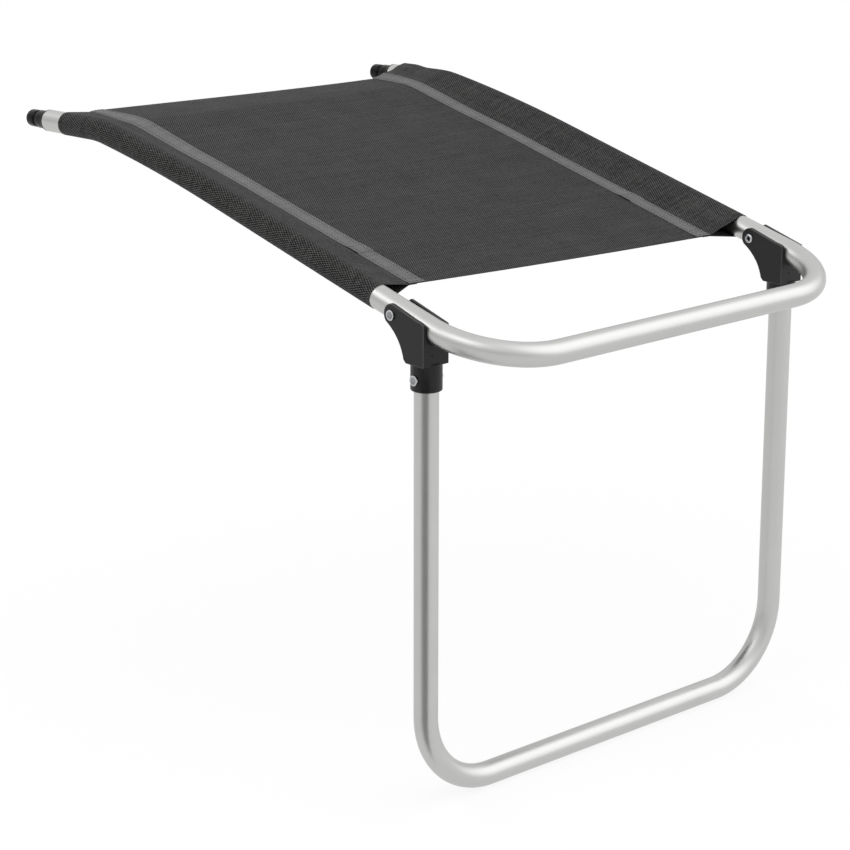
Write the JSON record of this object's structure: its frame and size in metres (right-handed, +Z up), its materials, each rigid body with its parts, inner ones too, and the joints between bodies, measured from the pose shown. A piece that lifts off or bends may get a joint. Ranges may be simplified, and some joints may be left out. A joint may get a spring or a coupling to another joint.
{
  "type": "clip-on leg rest",
  "caption": "Clip-on leg rest for a folding garden chair: bent tube frame, stretched mesh seat and a U-shaped leg that folds up under it.",
  "frame": {"origin": "midway between the tips of the two end plugs, on the line that joins them, where the chair takes hold", "axes": "+X from the left rail to the right rail as seen from the crossbar, +Y from the crossbar towards the chair, +Z up with the leg standing on the floor"},
  "size_m": [0.4906, 0.7093, 0.5616],
  "materials": {
    "frame_aluminium": "satin anodised",
    "bracket_plastic": "fine moulded texture",
    "plug_plastic": "smooth moulded",
    "rivet_steel": "zinc plated",
    "seat_mesh": "coated open mesh",
    "sleeve_mesh": "coated basket weave",
    "seam_band": "woven tape"
  },
  "bodies": {
    "top_frame": {"top_frame_tube": "frame_aluminium", "seat_panel": "seat_mesh", "left_sleeve": "sleeve_mesh", "right_sleeve": "sleeve_mesh", "left_seam_band": "seam_band", "right_seam_band": "seam_band", "left_end_plug": "plug_plastic", "right_end_plug": "plug_plastic", "left_pivot_rivet": "rivet_steel", "right_pivot_rivet": "rivet_steel"},
    "leg_frame": {"leg_frame_tube": "frame_aluminium", "left_bracket": "bracket_plastic", "right_bracket": "bracket_plastic", "left_socket_rivet": "rivet_steel", "right_socket_rivet": "rivet_steel"}
  },
  "joints": [
    {"name": "leg_fold", "type": "hinge", "parent": "top_frame", "child": "leg_frame", "pos_m": [0, -0.58535, -0.09085], "axis": [1, 0, 0], "range_deg": [0, 100]}
  ]
}
